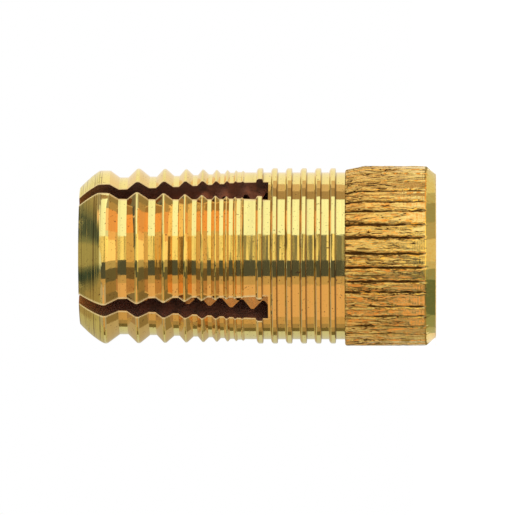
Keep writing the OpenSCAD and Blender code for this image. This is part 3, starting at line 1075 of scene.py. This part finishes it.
NEAR = [(140, 180, (0.8, 0.82, 0.7)), (95, 140, (0.32, 0.26, 0.14)), (82, 95, (0.47, 0.34, 0.16)),
        (45, 82, (0.85, 0.43, 0.17)), (30, 45, (0.92, 0.58, 0.26)), (-8, 30, (1.15, 0.9, 0.46)),
        (-22, -8, (0.5, 0.42, 0.22)), (-47, -22, (0.14, 0.13, 0.08)), (-66, -47, (0.33, 0.23, 0.1)),
        (-100, -66, (0.22, 0.17, 0.09)), (-140, -100, (0.28, 0.22, 0.11)), (-180, -140, (0.5, 0.5, 0.33))]
NEXT = [(50, 100, (0.72, 0.68, 0.5)), (40, 50, (0.5, 0.48, 0.36)), (24, 40, (0.33, 0.33, 0.25)),
        (12, 24, (0.45, 0.4, 0.3)), (-4, 12, (0.7, 0.6, 0.46)), (-9, -4, (0.56, 0.5, 0.4)),
        (-17, -9, (0.3, 0.32, 0.25)), (-46, -17, (0.13, 0.17, 0.12)), (-60, -46, (0.28, 0.32, 0.22)),
        (-70, -60, (0.42, 0.45, 0.35))]
NEXT_R, NEAR_R, TABLE_R, FAR_R, WALL_FOOT = 5.0, 7.5, 35, 250, 0.5
ROWS = [("level", LEVEL, wall(WALL_FOOT, SPLIT)), ("raised", RAISED, wall(SPLIT, RAISED_TO)),
        ("table", RAISED, ground(TABLE_R, FAR_R)), ("far", LEVEL, ground(FAR_R, CARD_FAR - 1)),
        ("near", NEAR, ground(NEAR_R, TABLE_R)), ("next", NEXT, ground(NEXT_R, NEAR_R))]
for row, sectors, rungs in ROWS:
    for k, (turn_from, turn_to, tone) in enumerate(sectors):
        card(f"card_{row}_{k}", turn_from, turn_to, rungs, tone)

# part of the sector that LEVEL leaves open holds bands, each with its two heights and its colour
MID_FROM, MID_TO, MID_FAR_TONE = -6, 28.5, (0.25, 0.17, 0.05)
MID = [(WALL_FOOT, 3, (0.7, 0.5, 0.2)), (3, 17, (0.19, 0.17, 0.15)), (17, 18.5, (0.8, 0.58, 0.28)),
       (18.5, 20, (0.06, 0.06, 0.05)), (20, 29.5, (1.05, 0.8, 0.46)), (29.5, 35, (0.8, 0.58, 0.32)),
       (35, 37, (0.05, 0.045, 0.02)), (37, 48, (0.85, 0.62, 0.3))]
for k, (low, high, tone) in enumerate(MID):
    card(f"card_mid_{k}", MID_FROM, MID_TO, wall(low, high), tone)
card("card_mid_far", MID_FROM, MID_TO, ground(FAR_R, CARD_FAR - 1), MID_FAR_TONE)

# %% The cards overhead, which the nose of the legs mirrors
# across the sight line, from one side to the other
OVERHEAD = [(310, 420, (0.55, 0.42, 0.36)), (240, 310, (0.4, 0.31, 0.2)), (210, 240, (0.3, 0.25, 0.16)),
            (178, 210, (0.19, 0.18, 0.14)), (85, 178, (0.085, 0.1, 0.1)), (60, 85, (0.2, 0.2, 0.15)),
            (-50, 60, (0.38, 0.32, 0.2)), (-70, -50, (0.16, 0.16, 0.12)), (-105, -70, (0.05, 0.07, 0.075)),
            (-125, -105, (0.1, 0.1, 0.08)), (-155, -125, (0.24, 0.2, 0.13)), (-290, -155, (0.37, 0.27, 0.16)),
            (-420, -290, (0.45, 0.38, 0.24))]
OVERHEAD_Z, OVERHEAD_REACH = 335, 420
side_way = Vector((-math.sin(CAMERA_TURN), math.cos(CAMERA_TURN), 0))


def flat_card(name, sides, forwards, height, tone):
    """A level card overhead, between two distances to the side and two towards the camera."""
    order = ((0, 0), (1, 0), (1, 1), (0, 1))
    corners = [side_way * sides[i] + sight * forwards[j] + Vector((0, 0, height)) for i, j in order]
    card_object(name, corners, [(0, 1, 2, 3)], tone)


for k, (low_side, high_side, tone) in enumerate(OVERHEAD):
    flat_card(f"card_over_{k}", (low_side, high_side), (-OVERHEAD_REACH, OVERHEAD_REACH), OVERHEAD_Z, tone)

# thin strips under them, which the nose shows as rings
STRIP_SIDES = (-130, 150)
STRIPS = [(160, 192, (0.015, 0.015, 0.01)), (106, 115, (0.9, 0.75, 0.5)), (74, 81, (0.75, 0.65, 0.45))]
for k, (near, far, tone) in enumerate(STRIPS):
    flat_card(f"card_strip_{k}", STRIP_SIDES, (-near, -far), OVERHEAD_Z - 1, tone)

# %% [markdown]
# ## Floor and lamp
# The floor keeps the anchor's shadow and looks white by the same trick as the world. One large soft lamp
# stands in for the room's. It is hidden from reflections, where the cards do its work.

# %% Floor
FLOOR_HALF, FLOOR_TONE, FLOOR_LIFT = 3000, 0.8, 0.36
corners = [(x * FLOOR_HALF, y * FLOOR_HALF, 0) for x, y in ((-1, -1), (1, -1), (1, 1), (-1, 1))]
floor = plain_object("floor", corners, faces=[(0, 1, 2, 3)])
paint = finish_named("floor_white")
tree = paint.node_tree
shader = tree.nodes["Principled BSDF"]
shader.inputs["Base Color"].default_value = (FLOOR_TONE, FLOOR_TONE, FLOOR_TONE, 1)
shader.inputs["Roughness"].default_value = 1.0
shader.inputs["Specular IOR Level"].default_value = 0.0
shader.inputs["Emission Color"].default_value = (1, 1, 1, 1)
lift = maths(tree)("*", rays_that_see(tree), FLOOR_LIFT)
tree.links.new(lift, shader.inputs["Emission Strength"])
floor.data.materials.append(paint)
print("floor", 2 * FLOOR_HALF, "mm wide")

# %% Lamp
def lamp(name, place, size, watts):
    """A square lamp that points at the anchor's foot."""
    data = bpy.data.lights.new(name, "AREA")
    data.shape, data.size, data.energy = "SQUARE", size * MM, watts
    made = bpy.data.objects.new(name, data)
    bpy.context.scene.collection.objects.link(made)
    made.location = Vector(place) * MM
    made.rotation_mode = "QUATERNION"
    made.rotation_quaternion = (-made.location).to_track_quat("-Z", "Y")
    made.visible_camera = made.visible_glossy = False


lamp("soft_lamp", place=(400, 300, 1100), size=900, watts=2.0)
print("lamps:", len(bpy.data.lights))

# %% [markdown]
# ## Finish
# Colours are shown as they are written. The scene may not grow past the solids.

# %% View settings
bpy.context.scene.view_settings.view_transform = "Standard"
